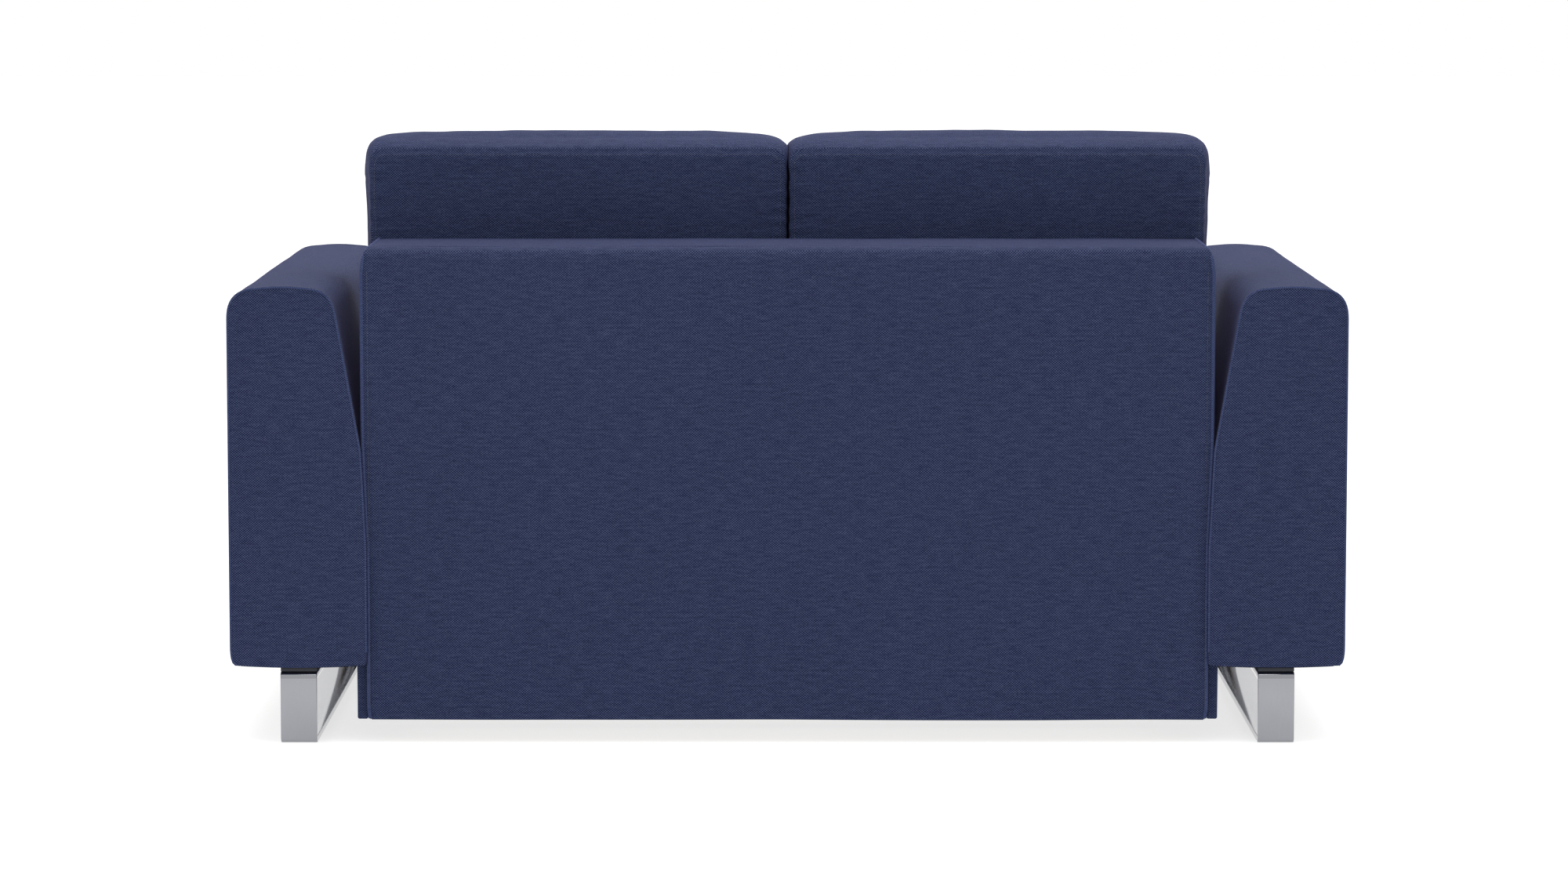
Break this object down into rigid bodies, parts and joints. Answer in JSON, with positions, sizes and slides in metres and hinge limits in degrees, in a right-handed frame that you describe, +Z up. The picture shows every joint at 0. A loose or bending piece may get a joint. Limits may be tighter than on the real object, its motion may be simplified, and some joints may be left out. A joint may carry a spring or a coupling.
{
  "type": "sofa bed",
  "caption": "Upholstered sofa bed on flat-bar sled legs; the seat and back turn over the front edge together and open a folded mattress into a bed.",
  "frame": {"origin": "on the floor under the middle of the closed sofa", "axes": "+X to the sitter's left as seen from the front, +Y to the rear, +Z up"},
  "size_m": [1.58, 0.94, 0.858],
  "materials": {
    "navy_fabric": "matt woven upholstery cloth",
    "satin_steel": "satin, polished on the inside",
    "black_plastic": "matt",
    "plywood": "bare",
    "dark_steel": "dark powder coat",
    "zinc_steel": "zinc plated",
    "deck_mesh": "welded mesh",
    "ticking": "mattress ticking"
  },
  "bodies": {
    "body": {"arm_cover_left": "navy_fabric", "arm_frame_left": "plywood", "side_board_left": "navy_fabric", "sled_leg_left": "satin_steel", "arm_cover_right": "navy_fabric", "arm_frame_right": "plywood", "side_board_right": "navy_fabric", "sled_leg_right": "satin_steel", "leg_pad_left_front": "black_plastic", "leg_pad_left_rear": "black_plastic", "leg_pad_right_front": "black_plastic", "leg_pad_right_rear": "black_plastic", "mechanism_plate_left": "dark_steel", "mechanism_plate_right": "dark_steel", "rear_board": "plywood", "rear_cover": "navy_fabric", "front_rail": "navy_fabric", "base_crossbar_front": "dark_steel", "base_crossbar_rear": "dark_steel"},
    "front_links": {"front_link_left": "zinc_steel", "front_link_right": "zinc_steel", "front_link_shaft": "zinc_steel"},
    "rear_links": {"rear_link_left": "zinc_steel", "rear_link_right": "zinc_steel", "rear_link_shaft": "zinc_steel"},
    "head_section": {"head_frame": "dark_steel", "head_deck": "deck_mesh", "mattress_head": "ticking"},
    "seat_section": {"seat_frame": "dark_steel", "seat_deck": "deck_mesh", "mattress_middle": "ticking", "seat_valance": "navy_fabric", "seat_cushion_left": "navy_fabric", "seat_cushion_right": "navy_fabric"},
    "back_section": {"back_frame": "dark_steel", "back_deck": "deck_mesh", "mattress_foot": "ticking", "back_pad": "navy_fabric", "ledge_cap": "navy_fabric", "back_cushion_left": "navy_fabric", "back_cushion_right": "navy_fabric", "foot_tube_left": "zinc_steel", "foot_tube_right": "zinc_steel", "foot_glide_left": "black_plastic", "foot_glide_right": "black_plastic"}
  },
  "joints": [
    {"name": "seat_fold", "type": "hinge", "parent": "head_section", "child": "seat_section", "pos_m": [0, -0.44, 0.185], "axis": [1, 0, 0], "range_deg": [0, 180]},
    {"name": "front_link_swing", "type": "hinge", "parent": "body", "child": "front_links", "pos_m": [0, 0.10002, 0.1895], "axis": [-1, 0, 0], "range_deg": [0, 32]},
    {"name": "head_frame_level", "type": "hinge", "parent": "front_links", "child": "head_section", "pos_m": [0, -0.3795, 0.052], "axis": [1, 0, 0], "range_deg": [0, 32]},
    {"name": "rear_link_swing", "type": "hinge", "parent": "body", "child": "rear_links", "pos_m": [0, 0.4, 0.1895], "axis": [-1, 0, 0], "range_deg": [0, 32]},
    {"name": "back_fold", "type": "hinge", "parent": "seat_section", "child": "back_section", "pos_m": [0, 0.29, 0.33], "axis": [-1, 0, 0], "range_deg": [0, 90]}
  ],
  "couplings": [
    {"joint": "front_link_swing", "follows": "seat_fold", "ratio": 0.17778},
    {"joint": "head_frame_level", "follows": "seat_fold", "ratio": 0.17778},
    {"joint": "rear_link_swing", "follows": "seat_fold", "ratio": 0.17778},
    {"joint": "back_fold", "follows": "seat_fold", "ratio": 0.5}
  ]
}
